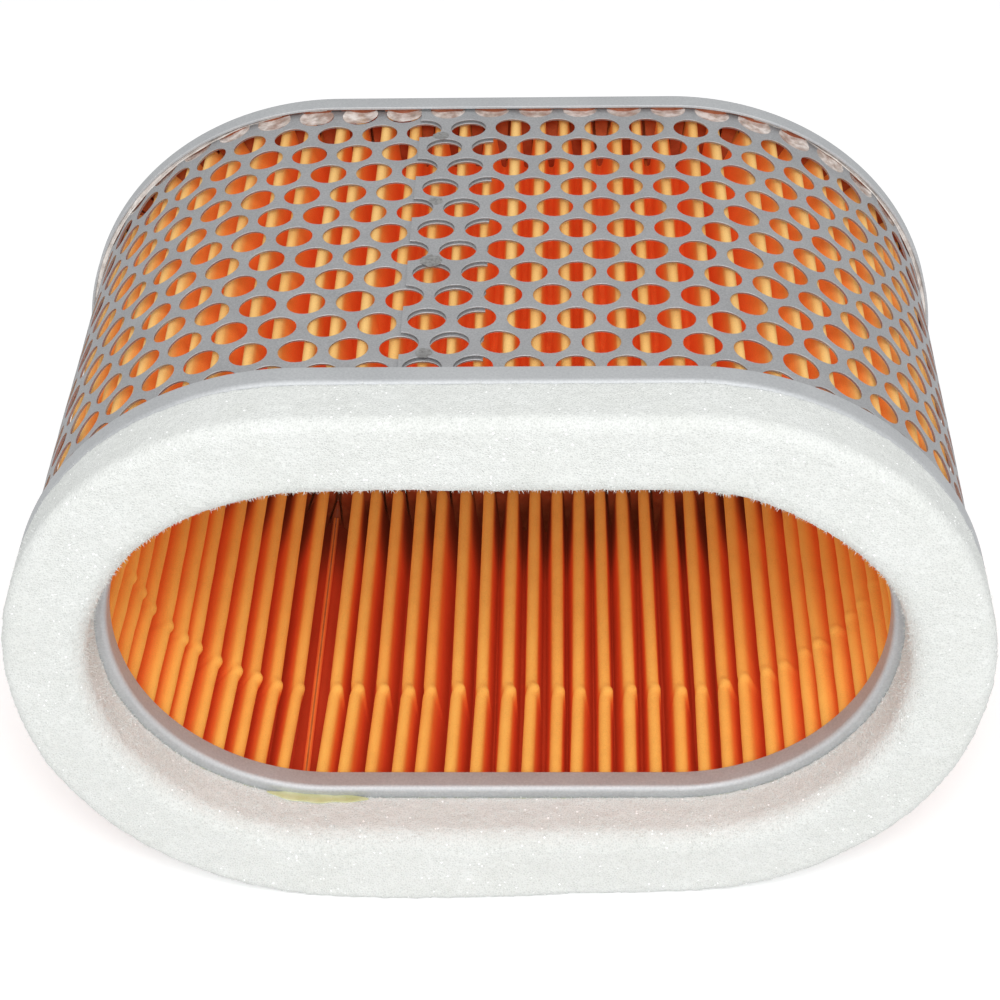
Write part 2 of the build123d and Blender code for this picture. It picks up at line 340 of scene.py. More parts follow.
# ------------------------------------------------------------------ perforated screen
@dataclass
class PerforatedScreen:
    """One strip of punched steel, wound round the filter and lapped over its own start."""

    oval: Oval
    wall: float = 0.5 * MM
    radius: float = 49.6 * MM
    lap_left: float = -14.8 * MM
    lap_right: float = -1.6 * MM
    lap_rise: float = 0.6 * MM
    joggle: float = 5.0 * MM
    settle_length: float = 25.0 * MM
    hole_radius: float = 3.2 * MM
    pitch: float = 8.0 * MM
    first_row: float = 5.8 * MM
    first_column: float = 0.9 * MM
    skew: float = 0.35 * MM
    lean: float = 1.1 * MM
    lean_pivot: float = 0.55
    pulls: tuple = ((-33 * MM, 13 * MM, 1.75 * MM), (-9 * MM, 8 * MM, 0.6 * MM), (56 * MM, 19 * MM, 2.0 * MM))
    end_inset: float = 1.0 * MM
    roll_width: float = 0.11 * MM
    roll_drop: float = 0.08 * MM
    hole_sides: int = 24
    buckle: float = 0.07 * MM
    buckle_size: float = 22 * MM
    join_within: float = 0.02 * MM

    def __post_init__(self) -> None:
        """Work out the strip's length and the pattern's steps."""
        self.turn = self.oval.turn_length(self.radius)
        self.length = self.turn + self.lap_right - self.lap_left
        self.column_step = self.turn / round(self.turn / self.pitch)
        self.row_step = self.pitch * math.sqrt(3) / 2
        self.start = self.oval.straight_half * 2 + math.pi * self.radius - self.lap_right
        self.front = self.oval.front_face + self.end_inset
        self.rear = self.oval.rear_face - self.end_inset

    def cell(self) -> bpy.types.Object:
        """Model the six-sided piece of sheet round one hole, its punched rim rolled over."""
        rim = self.hole_radius - self.roll_width / 2
        bpy.ops.mesh.primitive_circle_add(vertices=self.hole_sides, radius=rim, fill_type="NOTHING")
        cell = newest("perforated_sheet")
        widen = 1 + self.roll_width / self.hole_radius
        edit(
            cell,
            lambda: bpy.ops.transform.translate(value=(0, 0, -self.roll_drop)),
            lambda: bpy.ops.mesh.extrude_edges_move(TRANSFORM_OT_translate={"value": (0, 0, self.roll_drop)}),
            lambda: bpy.ops.transform.resize(value=(widen, widen, 1)),
            lambda: bpy.ops.mesh.extrude_edges_move(),
            lambda: bpy.ops.transform.resize(value=(1.2, 1.2, 1)),
        )
        points = read_points(cell)
        reach = np.hypot(points[:, 0], points[:, 1])
        outer = reach > self.hole_radius * 1.15
        sixth = math.pi / 3
        angle = np.arctan2(points[:, 1], points[:, 0])
        side = np.mod(angle + sixth / 2, sixth) - sixth / 2
        grown = self.pitch / 2 / np.cos(side) / reach
        points[outer, :2] *= grown[outer, None]
        points[outer, 0] *= self.column_step / self.pitch
        write_points(cell, points)
        return cell

    def distort(self, points: np.ndarray) -> np.ndarray:
        """Slant the flat pattern a little and pull it forwards where the winding stretched the sheet."""
        spine, out_x, out_z = self.oval.walk(self.start + points[:, 0], self.radius)
        across = spine + out_x * self.radius
        upper = np.clip(2 * out_z, 0, 1)
        pulled = ridge(across, self.pulls)
        depth = (points[:, 1] - self.oval.front_face) / (self.oval.rear_face - self.oval.front_face)
        moved = points.copy()
        moved[:, 0] += self.lean * (self.lean_pivot - depth)
        moved[:, 1] += self.skew * (points[:, 0] / self.turn - 1) - pulled * upper
        return moved

    def spread(self, cell: bpy.types.Object) -> None:
        """Repeat the cell over the flat strip and cut the strip to its length and width."""
        columns = math.ceil(self.length / self.column_step) + 2
        rows = math.ceil((self.rear - self.front) / self.row_step) + 2
        repeats = [
            ((self.column_step, 0, 0), columns),
            ((-self.column_step / 2, self.row_step, 0), 2),
            ((0, 2 * self.row_step, 0), math.ceil(rows / 2)),
        ]
        for step, count in repeats:
            apply_modifier(
                cell, "ARRAY", count=count, use_relative_offset=False, use_constant_offset=True,
                constant_offset_displace=step, use_merge_vertices=True, merge_threshold=self.join_within,
            )
        points = read_points(cell)
        points[:, 0] += self.first_column - self.column_step / 2
        points[:, 1] += self.oval.front_face + self.first_row - self.row_step
        points[:, 2] += self.wall / 2
        write_points(cell, self.distort(points))
        cuts = [
            ((0, 0, 0), (-1, 0, 0)),
            ((self.length, 0, 0), (1, 0, 0)),
            ((0, self.front, 0), (0, -1, 0)),
            ((0, self.rear, 0), (0, 1, 0)),
        ]
        for through, away in cuts:
            edit(
                cell,
                lambda: bpy.ops.mesh.remove_doubles(threshold=self.join_within),
                lambda: bpy.ops.mesh.select_all(action="SELECT"),
                lambda: bpy.ops.mesh.bisect(plane_co=through, plane_no=away, clear_outer=True),
            )

    def wind(self, strip: bpy.types.Object) -> None:
        """Bend the flat strip round the oval, stepping its far end up over its start."""
        points = read_points(strip)
        along, y, height = points.T
        to_end = self.length - along
        lap = self.lap_right - self.lap_left
        step = np.clip((lap + self.joggle - to_end) / self.joggle, 0, 1)
        under = np.clip((lap + self.settle_length - along) / self.settle_length, 0, 1)
        rise = self.lap_rise / 2 * (step * step * (3 - 2 * step) - under * under * (3 - 2 * under))
        middle = self.oval.place(self.start + along, np.full(len(along), self.radius), y, self.radius)
        wave = hills(middle, self.buckle_size, 3) * self.buckle * (1 - step)
        radius = self.radius + height + rise + wave
        write_points(strip, self.oval.place(self.start + along, radius, y, self.radius))

    def build(self, finish: bpy.types.Material) -> bpy.types.Object:
        """Model the wound screen in place of its plain solid."""
        strip = self.cell()
        self.spread(strip)
        face_up(strip)
        apply_modifier(strip, "SOLIDIFY", thickness=self.wall, offset=-1)
        self.wind(strip)
        edit(strip, lambda: bpy.ops.mesh.flip_normals())
        smooth(strip)
        return settle(strip, "perforated_steel", finish, "perforated_screen")


# ------------------------------------------------------------------ seam of the screen
@dataclass
class ScreenSeam:
    """The spot welds' marks, where the electrodes pressed the lapped layers together."""

    screen: PerforatedScreen
    across: float = -10.9 * MM
    depths: tuple[float, ...] = (9.3 * MM, 36.5 * MM, 55.9 * MM, 78.7 * MM)
    sizes: tuple[float, ...] = (1.3 * MM, 1.8 * MM, 1.2 * MM, 1.4 * MM)
    sides: int = 28

    def mark(self, radius: float) -> bpy.types.Object:
        """Model one mark: a shallow dimple with a raised, melted rim."""
        bpy.ops.mesh.primitive_circle_add(vertices=self.sides, radius=radius, fill_type="NGON")
        mark = newest("weld_mark")
        rises = ((0.22 * radius, 0.03 * MM), (0.2 * radius, 0.0), (0.25 * radius, -0.03 * MM))
        steps = [lambda: bpy.ops.transform.translate(value=(0, 0, 0.01 * MM))]
        for width, rise in rises:
            steps.append(lambda width=width: bpy.ops.mesh.inset(thickness=width))
            steps.append(lambda rise=rise: bpy.ops.transform.translate(value=(0, 0, rise)))
        edit(mark, *steps)
        return mark

    def build(self, finish: bpy.types.Material) -> bpy.types.Object:
        """Press the marks into the outer layer and join them into one piece."""
        screen = self.screen
        top = screen.oval.axis_height + screen.radius + screen.lap_rise / 2 + screen.wall / 2
        marks = []
        for depth, radius in zip(self.depths, self.sizes):
            mark = self.mark(radius)
            points = read_points(mark)
            points += (self.across, screen.oval.front_face + depth, top)
            waver = hills(points, 0.5 * MM, depth / MM)
            center = np.array([self.across, screen.oval.front_face + depth])
            points[:, :2] += (points[:, :2] - center) * 0.22 * waver[:, None]
            write_points(mark, points)
            marks.append(mark)
        deselect_all()
        for mark in marks:
            mark.select_set(True)
        bpy.context.view_layer.objects.active = marks[0]
        bpy.ops.object.join()
        marks[0].name = "weld_marks"
        edit(marks[0], lambda: bpy.ops.mesh.normals_make_consistent(inside=False))
        face_up(marks[0])
        smooth(marks[0], 60)
        return settle(marks[0], "weld_steel", finish)


# ------------------------------------------------------------------ pleated paper
@dataclass
class PleatedPaper:
    """The paper ring: evenly set folds that wander a little, each embossed once near the mouth."""

    oval: Oval
    wall: float = 0.5 * MM
    inside: float = 37.0 * MM
    outside: float = 49.0 * MM
    fold_radius: float = 0.8 * MM
    pleats: int = 86
    seam_offset: float = -36.0 * MM
    seam_depth: float = 9.0 * MM
    seam_half: float = 0.4 * MM
    seam_end: float = 1.2 * MM
    seam_draw: float = 0.85 * MM
    end_inset: float = 1.0 * MM
    emboss_depth: float = 28.4 * MM
    emboss_reach: float = 1.05 * MM
    emboss_rise: float = 0.32 * MM
    emboss_shift: float = 0.4 * MM
    lean: float = 0.65 * MM
    wander: float = 0.32 * MM
    ripple: float = 0.07 * MM
    fold_steps: int = 6
    seed: int = 11

    def __post_init__(self) -> None:
        """Work out the end radius halfway between the inner and the outer folds."""
        self.middle = (self.inside + self.outside) / 2

    def rows(self) -> np.ndarray:
        """The Y of each row of points along the pleats, closer together at the embossing."""
        front = self.oval.front_face + self.end_inset
        rear = self.oval.rear_face - self.end_inset
        mark = self.oval.front_face + self.emboss_depth
        near = mark + self.emboss_reach * np.linspace(-2.2, 2.2, 11)
        before = np.linspace(front, near[0], 7)[:-1]
        after = np.linspace(near[-1], rear, 13)[1:]
        return np.concatenate([before, near, after])

    def seam(self) -> tuple[np.ndarray, np.ndarray, np.ndarray]:
        """The foot of the paper's two glued ends, and the ways outwards and onwards there, in X and height."""
        spine, out_x, out_z = self.oval.walk(np.array([self.seam_offset]), self.middle)
        outward = np.array([out_x[0], out_z[0]])
        foot = np.array([spine[0], 0.0]) + outward * (self.inside + self.seam_depth)
        return foot, outward, np.array([-outward[1], outward[0]])

    def folds(self, y: float, draws: dict[str, np.ndarray]) -> tuple[np.ndarray, np.ndarray, np.ndarray]:
        """Where the folds are at one Y.

        Args:
            y: Where along the filter the folds are cut.
            draws: What draw() gives.

        Returns:
            The middle of each fold's arc and the way outwards there, both in X and height above the
            axis, and how large each arc is as a share of the fold radius.
        """
        count = 2 * self.pleats
        order = np.arange(1, count)
        outer = order % 2 == 1
        depth = y - self.oval.front_face
        past = (depth - self.emboss_depth - draws["emboss_at"]) / self.emboss_reach
        bump = np.exp(-(past**2)) * draws["emboss"]
        tilt = depth / (self.oval.rear_face - self.oval.front_face) - 0.3
        along = self.seam_offset + order * self.oval.turn_length(self.middle) / count
        spine, out_x, _ = self.oval.walk(along, self.middle)
        bend = np.minimum(0.0, depth - self.emboss_depth) / self.emboss_depth
        leftward = 1 - 0.6 * (spine + 9 * MM * out_x) / self.oval.straight_half
        near = np.minimum(order, count - order) / 2
        drawn = np.where(near > 0.75, self.seam_draw * np.exp(-(near - 1) / 5), 0.0)
        along = along + draws["shift"] + draws["drift"] * tilt + drawn * np.where(order < self.pleats, -1, 1)
        along = along + np.where(outer, 0.4, 1.0) * (self.lean * leftward * bend)
        along = along + np.where(outer, 0.0, self.emboss_shift * bump)
        reach = self.fold_radius + self.wall / 2
        ripple = self.ripple * np.sin(depth / (2.3 * MM) + order * 1.7) * draws["emboss"]
        inner_at = self.inside + reach + draws["short"] - self.emboss_rise * bump + ripple
        at = np.where(outer, self.outside - reach - draws["short"], inner_at)
        spine, out_x, out_z = self.oval.walk(along, self.middle)
        outward = np.stack([out_x, out_z], axis=1)
        centers = np.stack([spine, 0 * spine], axis=1) + outward * at[:, None]
        return centers, outward, np.where(outer, draws["full"], 1.0 + 0.12 * bump)

    def path(self, y: float, draws: dict[str, np.ndarray]) -> np.ndarray:
        """The paper's middle line at one Y: an arc round each fold and a straight wall between folds.

        Args:
            y: Where along the filter the line is.
            draws: What draw() gives.

        Returns:
            Rows of X, Y, Z.
        """
        centers, outward, swell = self.folds(y, draws)
        foot, seam_out, seam_on = self.seam()
        aside = seam_on * (self.seam_half + self.fold_radius)
        centers = np.vstack([foot + aside, centers, foot - aside])
        side = np.ones(len(centers))
        side[2:-1:2] = -1.0
        gap = np.diff(centers, axis=0)
        length = np.linalg.norm(gap, axis=1, keepdims=True)
        ahead = gap / length
        share = ((side[:-1] - side[1:]) * self.fold_radius)[:, None] / length
        right = np.stack([ahead[:, 1], -ahead[:, 0]], axis=1)
        normal = ahead * share + right * np.sqrt(1 - share * share)
        into = np.vstack([-seam_on, normal])
        out_of = np.vstack([normal, seam_on])
        crown = np.vstack([into[:1] + out_of[:1], outward, into[-1:] + out_of[-1:]])
        crown = crown / np.linalg.norm(crown, axis=1, keepdims=True)
        crown[1:-1] *= side[1:-1, None]
        into, out_of = into * side[:, None], out_of * side[:, None]
        radius = self.fold_radius * np.concatenate([[1.0], swell, [1.0]])[:, None]
        half = self.fold_steps // 2
        shares = [step / half for step in range(half)]
        turns = [into * (1 - t) + crown * t for t in shares]
        turns += [crown * (1 - t) + out_of * t for t in shares + [1.0]]
        arcs = [centers + radius * turn / np.linalg.norm(turn, axis=1, keepdims=True) for turn in turns]
        following = np.roll(arcs[0], -1, axis=0)
        arcs += [arcs[-1] * (1 - t) + following * t for t in (0.3, 0.7)]
        line = np.stack(arcs, axis=1).reshape(-1, 2)[:-2]
        tip = foot - seam_out * self.seam_end
        line = np.vstack([tip + seam_on * self.seam_half, line, tip - seam_on * self.seam_half])
        return np.column_stack([line[:, 0], np.full(len(line), y), self.oval.axis_height + line[:, 1]])

    def draw(self) -> dict[str, np.ndarray]:
        """Draw every fold's own small departures from the even pattern.

        Returns:
            For each fold, its shift along the ring, its drift from end to end, how far it falls short of
            the ring's full depth, where its embossing is and how strong, and how full its arc is.
        """
        source = np.random.default_rng(self.seed)
        folds = 2 * self.pleats - 1
        limit = 2 * self.wander
        return {
            "shift": np.clip(source.normal(0, self.wander, folds), -limit, limit),
            "drift": np.clip(source.normal(0, 1.2 * self.wander, folds), -limit, limit),
            "short": source.uniform(0, 0.5 * MM, folds),
            "emboss_at": source.normal(0, 0.35 * MM, folds),
            "emboss": source.uniform(0.55, 1.25, folds),
            "full": source.uniform(0.45, 0.9, folds),
        }

    def mark_sides(self, paper: bpy.types.Object, flat: np.ndarray) -> None:
        """Store on the paper how deep each point lies and which side of the paper it is on.

        Args:
            paper: The paper with its wall.
            flat: The points of its middle line before it had a wall, one for each pair of its own.
        """
        points = read_points(paper)
        spine = np.clip(points[:, 0], -self.oval.straight_half, self.oval.straight_half)
        radius = np.hypot(points[:, 0] - spine, points[:, 2] - self.oval.axis_height)
        depth = (radius - self.inside) / (self.outside - self.inside)
        ahead = np.roll(flat, -1, axis=0) - np.roll(flat, 1, axis=0)
        outward = np.stack([ahead[:, 2], 0 * ahead[:, 1], -ahead[:, 0]], axis=1)
        toward = np.sign(np.sum((points[: len(flat)] - flat) * outward, axis=1))
        outside = np.concatenate([toward, -toward]) > 0
        for name, values in (("depth", depth), ("outside", outside)):
            layer = paper.data.attributes.new(name, "FLOAT", "POINT")
            layer.data.foreach_set("value", values.astype(np.float32))

    def build(self, finish: bpy.types.Material) -> bpy.types.Object:
        """Fold a flat grid into the pleated ring, in place of its plain solid."""
        draws = self.draw()
        lines = np.array([self.path(y, draws) for y in self.rows()])
        down, across = lines.shape[:2]
        bpy.ops.mesh.primitive_grid_add(x_subdivisions=across - 1, y_subdivisions=down - 1, size=1)
        paper = newest("folded_paper")
        flat = read_points(paper)
        column = np.rint((flat[:, 0] + 0.5) * (across - 1)).astype(int)
        row = np.rint((flat[:, 1] + 0.5) * (down - 1)).astype(int)
        folded = lines[row, column]
        write_points(paper, folded)
        apply_modifier(paper, "SOLIDIFY", thickness=self.wall, offset=0)
        self.mark_sides(paper, folded)
        face_outwards(paper)
        smooth(paper, 50)
        return settle(paper, "filter_paper", finish, "pleated_paper")


@dataclass
class PaperSeam:
    """The glue line that closes the paper ring, between its two turned-in ends."""

    paper: PleatedPaper
    wall: float = 0.3 * MM
    short: float = 0.2 * MM
    waver: float = 0.02 * MM

    def build(self, finish: bpy.types.Material) -> bpy.types.Object:
        """Stretch a block along the two ends, in place of the plain solid."""
        paper, oval = self.paper, self.paper.oval
        bpy.ops.mesh.primitive_cube_add(size=1)
        strip = newest("paper_seam_glue_line")
        length = oval.rear_face - oval.front_face - 2 * paper.end_inset
        edit(
            strip,
            lambda: bpy.ops.transform.resize(value=(self.wall, length, paper.seam_end - self.short)),
            lambda: bpy.ops.mesh.subdivide(number_cuts=5),
        )
        points = read_points(strip)
        foot, outward, onward = paper.seam()
        rise = points[:, 2] - paper.seam_end / 2
        aside = points[:, 0] + hills(points * (0, 1, 0), 6 * MM, 7) * self.waver
        placed = foot + rise[:, None] * outward + aside[:, None] * onward
        y = points[:, 1] + (oval.front_face + oval.rear_face) / 2
        write_points(strip, np.column_stack([placed[:, 0], y, oval.axis_height + placed[:, 1]]))
        smooth(strip, 30)
        return settle(strip, "paper_glue", finish, "paper_seam_glue")


# ------------------------------------------------------------------ poured adhesive
@dataclass
class RearAdhesive:
    """Adhesive that rose between the rear flange and the screen, and into the last row of holes."""

    screen: PerforatedScreen
    flange: float = 4.2 * MM
    flange_inside: float = 50.5 * MM
    over_sheet: float = 0.35 * MM
    short_of_lip: float = 1.9 * MM
    film: float = 0.22 * MM
    plug_sag: float = 0.45 * MM
    around: int = 500

    def fullness(self, along: np.ndarray) -> np.ndarray:
        """How far the adhesive rose, from 0 on the straight runs to 1 round the ends."""
        oval = self.screen.oval
        spine, out_x, out_z = oval.walk(along, oval.end_radius)
        rounder = np.clip(1.25 * np.abs(out_x) + 0.12 - 0.25 * (spine > 0), 0, 1)
        places = np.stack([spine + out_x * oval.end_radius, 0 * spine, out_z * oval.end_radius], axis=1)
        return np.clip(rounder + 0.28 * hills(places, 7 * MM, 2) + 0.12 * hills(places, 2.5 * MM, 4), 0, 1.1)

    def bead(self, finish: bpy.types.Material) -> bpy.types.Object:
        """The fillet that shows between the flange and the screen."""
        screen, oval = self.screen, self.screen.oval
        lip = oval.rear_face - self.flange
        sheet = screen.radius + screen.wall / 2
        back = oval.rear_face - 1.2 * MM
        section = rounded([
            (sheet - 0.05 * MM, back, 0),
            (sheet - 0.05 * MM, lip - self.over_sheet, 0.05 * MM),
            (sheet + self.film, lip - self.over_sheet, 0.1 * MM),
            (sheet + self.film, lip + 0.1 * MM, 0.15 * MM),
            (self.flange_inside + 0.02 * MM, lip + 0.3 * MM, 0.08 * MM),
            (self.flange_inside + 0.02 * MM, back, 0),
        ], steps=4)

        def rise(along: np.ndarray, radius: np.ndarray, y: np.ndarray) -> tuple[np.ndarray, np.ndarray]:
            """Draw the bead's front back where the adhesive stood lower, and sink the bead at the lap."""
            full = self.fullness(along)
            reach = self.short_of_lip + self.over_sheet
            front = np.clip((lip + self.short_of_lip + 0.4 * MM - y) / reach, 0, 1)
            spine, _, out_z = oval.walk(along, oval.end_radius)
            lapped = (out_z > 0.99) & (spine > screen.lap_left - 5 * MM) & (spine < screen.lap_right)
            low = np.minimum(radius, sheet - 0.2 * MM)
            y = y + front * (1 - full) * reach
            return np.where(lapped & (radius < self.flange_inside), low, radius), y

        bead = sweep(oval, "rear_adhesive_bead", section, self.around, rise)
        smooth(bead, 60)
        return settle(bead, "potting_adhesive", finish)

    def plugs(self, finish: bpy.types.Material) -> bpy.types.Object:
        """A sagging skin of adhesive in each hole of the last row."""
        screen, oval = self.screen, self.screen.oval
        last = int((oval.rear_face - screen.end_inset - oval.front_face - screen.first_row) / screen.row_step)
        columns = round(screen.turn / screen.column_step)
        start = screen.first_column + (screen.column_step / 2 if last % 2 else 0.0)
        bpy.ops.mesh.primitive_circle_add(vertices=20, radius=screen.hole_radius, fill_type="NGON")
        plug = newest("rear_adhesive_plugs")
        steps = []
        for width in (0.1, 0.25, 0.3):
            steps.append(lambda width=width: bpy.ops.mesh.inset(thickness=width * screen.hole_radius))
        edit(plug, *steps)
        points = read_points(plug)
        reach = np.hypot(points[:, 0], points[:, 1]) / screen.hole_radius
        points[:, 2] = screen.wall * 0.3 - self.plug_sag * (1 - reach**2)
        write_points(plug, points)
        edit(plug, lambda: bpy.ops.transform.translate(
            value=(start, oval.front_face + screen.first_row + last * screen.row_step, 0),
        ))
        apply_modifier(
            plug, "ARRAY", count=columns, use_relative_offset=False, use_constant_offset=True,
            constant_offset_displace=(screen.column_step, 0, 0),
        )
        points = read_points(plug)
        points = screen.distort(points)
        sag = hills(points, 3 * MM, 8) * 0.25 * MM
        along = screen.start + points[:, 0]
        write_points(plug, oval.place(along, screen.radius + points[:, 2] + sag, points[:, 1], screen.radius))
        face_outwards(plug)
        smooth(plug, 80)
        return settle(plug, "potting_adhesive", finish)


# ------------------------------------------------------------------ foam gasket
@dataclass
class FoamGasket:
    """The die-cut ring of open-cell foam, with soft edges and a rough cut surface."""

    oval: Oval
    opening_radius: float = 37.2 * MM
    front_round: float = 2.2 * MM
    mouth_round: float = 3.4 * MM
    rear_round: float = 0.4 * MM
    step: float = 0.44 * MM
    waver: float = 0.35 * MM
    bulges: tuple = ((-14 * MM, 30 * MM, 2.3 * MM),)
    droops: tuple = ((-48 * MM, 20 * MM, 1.6 * MM), (0.0, 70 * MM, 1.1 * MM), (54 * MM, 15 * MM, 2.2 * MM))

    def __post_init__(self) -> None:
        """Find the face that is glued to the cap."""
        self.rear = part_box("foam_gasket")[1].y

    def shape(self, along: np.ndarray, radius: np.ndarray, y: np.ndarray) -> tuple[np.ndarray, np.ndarray]:
        """Let the edges waver, the upper run droop into the opening and the lower run bulge forwards.

        Args:
            along: Distance round the oval of each point.
            radius: Its end radius.
            y: Its Y.

        Returns:
            The radius and Y moved.
        """
        spine, out_x, out_z = self.oval.walk(along, self.oval.end_radius)
        width = self.oval.end_radius - self.opening_radius
        edge = (radius - self.opening_radius) / width
        free = (self.rear - y) / (self.rear - self.oval.gasket_face)
        places = np.stack([spine + out_x * radius, 0 * y, out_z * radius], axis=1)
        wave = hills(places, 15 * MM, 5) * self.waver * (0.4 + 0.6 * free)
        low, high = np.clip(-out_z, 0, 1), np.clip(out_z, 0, 1)
        across = spine + out_x * radius
        radius = radius + wave - ridge(across, self.droops) * high * (1 - edge) * free
        radius = np.where(low > 0, np.minimum(radius, self.oval.end_radius), radius)
        y = y + (0.2 * MM * hills(places, 9 * MM, 6) - ridge(across, self.bulges) * low * edge) * free
        return radius, y

    def build(self, finish: bpy.types.Material) -> bpy.types.Object:
        """Wrap the die-cut section round the oval and roughen it, in place of its plain solid."""
        front = self.oval.gasket_face
        inner, outer = self.opening_radius, self.oval.end_radius
        corners = [
            (inner, self.rear, self.rear_round),
            (inner, front + 0.1 * MM, self.mouth_round),
            (outer, front + 0.1 * MM, self.front_round),
            (outer, self.rear, self.rear_round),
        ]
        section = resample(rounded(corners), self.step)
        around = round(self.oval.turn_length((inner + outer) / 2) / self.step)
        foam = sweep(self.oval, "foam_ring", section, around, self.shape)
        cells = bpy.data.textures.new("foam_cells", "VORONOI")
        cells.noise_scale = 0.9 * MM
        clumps = bpy.data.textures.new("foam_clumps", "CLOUDS")
        clumps.noise_scale = 3.2 * MM
        for texture, strength in ((cells, 0.28 * MM), (clumps, 0.25 * MM)):
            apply_modifier(
                foam, "DISPLACE", texture=texture, strength=strength, mid_level=0.6, texture_coords="LOCAL",
            )
        smooth(foam, 180)
        settle(foam, "gasket_foam", finish, "foam_gasket")
        return foam


@dataclass
class FoamFibres:
    """Torn cell walls that stand up from the gasket's cut surface, most of them round its opening."""

    oval: Oval
    count: int = 15000
    root: float = 0.08 * MM
    length: float = 0.75 * MM
    seed: int = 5

    def build(self, foam: bpy.types.Object, finish: bpy.types.Material) -> bpy.types.Object:
        """Model one sliver, repeat it and stand each copy on the foam."""
        bpy.ops.mesh.primitive_cone_add(vertices=3, radius1=self.root, radius2=0, depth=self.length)
        fibres = newest("foam_torn_cells")
        edit(fibres, lambda: bpy.ops.transform.translate(value=(0, 0, self.length * 0.35)))
        corners = len(fibres.data.vertices)
        apply_modifier(
            fibres, "ARRAY", count=self.count, use_relative_offset=False, use_constant_offset=True,
            constant_offset_displace=(4 * self.root, 0, 0),
        )
        sliver = read_points(fibres)[:corners]
        centers, normals = read_faces(foam, "center"), read_faces(foam, "normal")
        source = np.random.default_rng(self.seed)
        spine = np.clip(centers[:, 0], -self.oval.straight_half, self.oval.straight_half)
        radius = np.hypot(centers[:, 0] - spine, centers[:, 2] - self.oval.axis_height)
        likely = 1 + 5.0 * (radius < self.oval.end_radius - 11 * MM)
        roots = source.choice(len(centers), self.count, p=likely / likely.sum())
        up = normals[roots] + source.normal(0, 0.45, (self.count, 3))
        up /= np.linalg.norm(up, axis=1, keepdims=True)
        side = np.cross(up, source.normal(0, 1, (self.count, 3)))
        side /= np.linalg.norm(side, axis=1, keepdims=True)
        across = np.cross(up, side)
        size = source.uniform(0.4, 1.2, (self.count, 1, 1))
        local = sliver[None] * size
        axes = np.stack([side, across, up], axis=1)
        turned = sum(local[..., axis:axis + 1] * axes[:, None, axis] for axis in range(3))
        write_points(fibres, (centers[roots][:, None] + turned).reshape(-1, 3))
        return settle(fibres, "gasket_foam", finish)


@dataclass
class GasketGlue:
    """A smear of contact glue that squeezed out from under the gasket, at the lower left of the mouth."""

    oval: Oval
    middle: float = -32.5 * MM
    length: float = 18.0 * MM
    width: float = 0.5 * MM
    height: float = 2.4 * MM
    edge_radius: float = 37.1 * MM

    def build(self, finish: bpy.types.Material) -> bpy.types.Object:
        """Flatten a ball into a long smear on the cap's face."""
        bpy.ops.mesh.primitive_uv_sphere_add(segments=64, ring_count=24, radius=0.5)
        smear = newest("gasket_glue_smear")
        edit(smear, lambda: bpy.ops.transform.resize(value=(self.length, self.height, self.width)))
        points = read_points(smear)
        aside, y, rise = points.T
        y = y * (1 + 0.5 * hills(points * (1, 0, 0), 3.5 * MM, 9)) + self.oval.front_face - self.height / 3
        write_points(smear, self.oval.place(self.middle + aside, self.edge_radius + rise, y, self.edge_radius))
        face_outwards(smear)
        smooth(smear, 80)
        return settle(smear, "contact_adhesive", finish)


# ------------------------------------------------------------------ shader node groups
def socket_label(word: str) -> str:
    """The label of the socket that a keyword stands for: base_color is Base Color."""
    return word.replace("_", " ").title().replace("Ior", "IOR")


class Tree:
    """A material's or a group's node tree, with short calls to add and join nodes."""

    def __init__(self, tree: bpy.types.NodeTree) -> None:
        """Work on the given tree."""
        self.tree = tree

    def add(
        self, kind: str, inputs: dict[str | int, object] | None = None, **settings: object,
    ) -> bpy.types.Node:
        """Add a node.

        Args:
            kind: The node's type.
            inputs: For each input, a value, or an output to join to it.
            settings: The node's properties.

        Returns:
            The node.
        """
        node = self.tree.nodes.new(kind)
        for name, value in settings.items():
            setattr(node, name, value)
        for name, value in (inputs or {}).items():
            if isinstance(value, bpy.types.NodeSocket):
                self.tree.links.new(value, node.inputs[name])
            else:
                node.inputs[name].default_value = value
        return node

    def feed(self, node: bpy.types.Node, **outputs: bpy.types.NodeSocket) -> None:
        """Join each output to the node's input that its keyword stands for."""
        for word, output in outputs.items():
            self.tree.links.new(output, node.inputs[socket_label(word)])

    def coordinates(self) -> bpy.types.NodeSocket:
        """The piece's own coordinates."""
        return self.add("ShaderNodeTexCoord").outputs["Object"]

    def bump(
        self, height: bpy.types.NodeSocket, distance: float, strength: float = 1.0,
    ) -> bpy.types.NodeSocket:
        """The normal of a surface with the given height, scaled to a distance."""
        inputs = {"Height": height, "Distance": distance, "Strength": strength}
        return self.add("ShaderNodeBump", inputs).outputs["Normal"]

    def ramp(
        self, factor: bpy.types.NodeSocket, stops: Sequence[tuple[float, Sequence[float]]],
    ) -> bpy.types.NodeSocket:
        """Map a factor to a color through the given stops."""
        node = self.add("ShaderNodeValToRGB", {"Fac": factor})
        elements = node.color_ramp.elements
        while len(elements) < len(stops):
            elements.new(0.5)
        for element, (position, color) in zip(elements, stops):
            element.position = position
            element.color = (*color, 1)
        return node.outputs["Color"]

    def mix(self, factor: object, first: object, second: object, blend: str = "MIX") -> bpy.types.NodeSocket:
        """Mix two colors, and return the result."""
        node = self.add("ShaderNodeMix", {0: factor, 6: first, 7: second}, data_type="RGBA", blend_type=blend)
        return node.outputs[2]

    def math(self, operation: str, first: object, second: object = 0.0) -> bpy.types.NodeSocket:
        """Work out one arithmetic step, and return its result."""
        return self.add("ShaderNodeMath", {0: first, 1: second}, operation=operation).outputs[0]


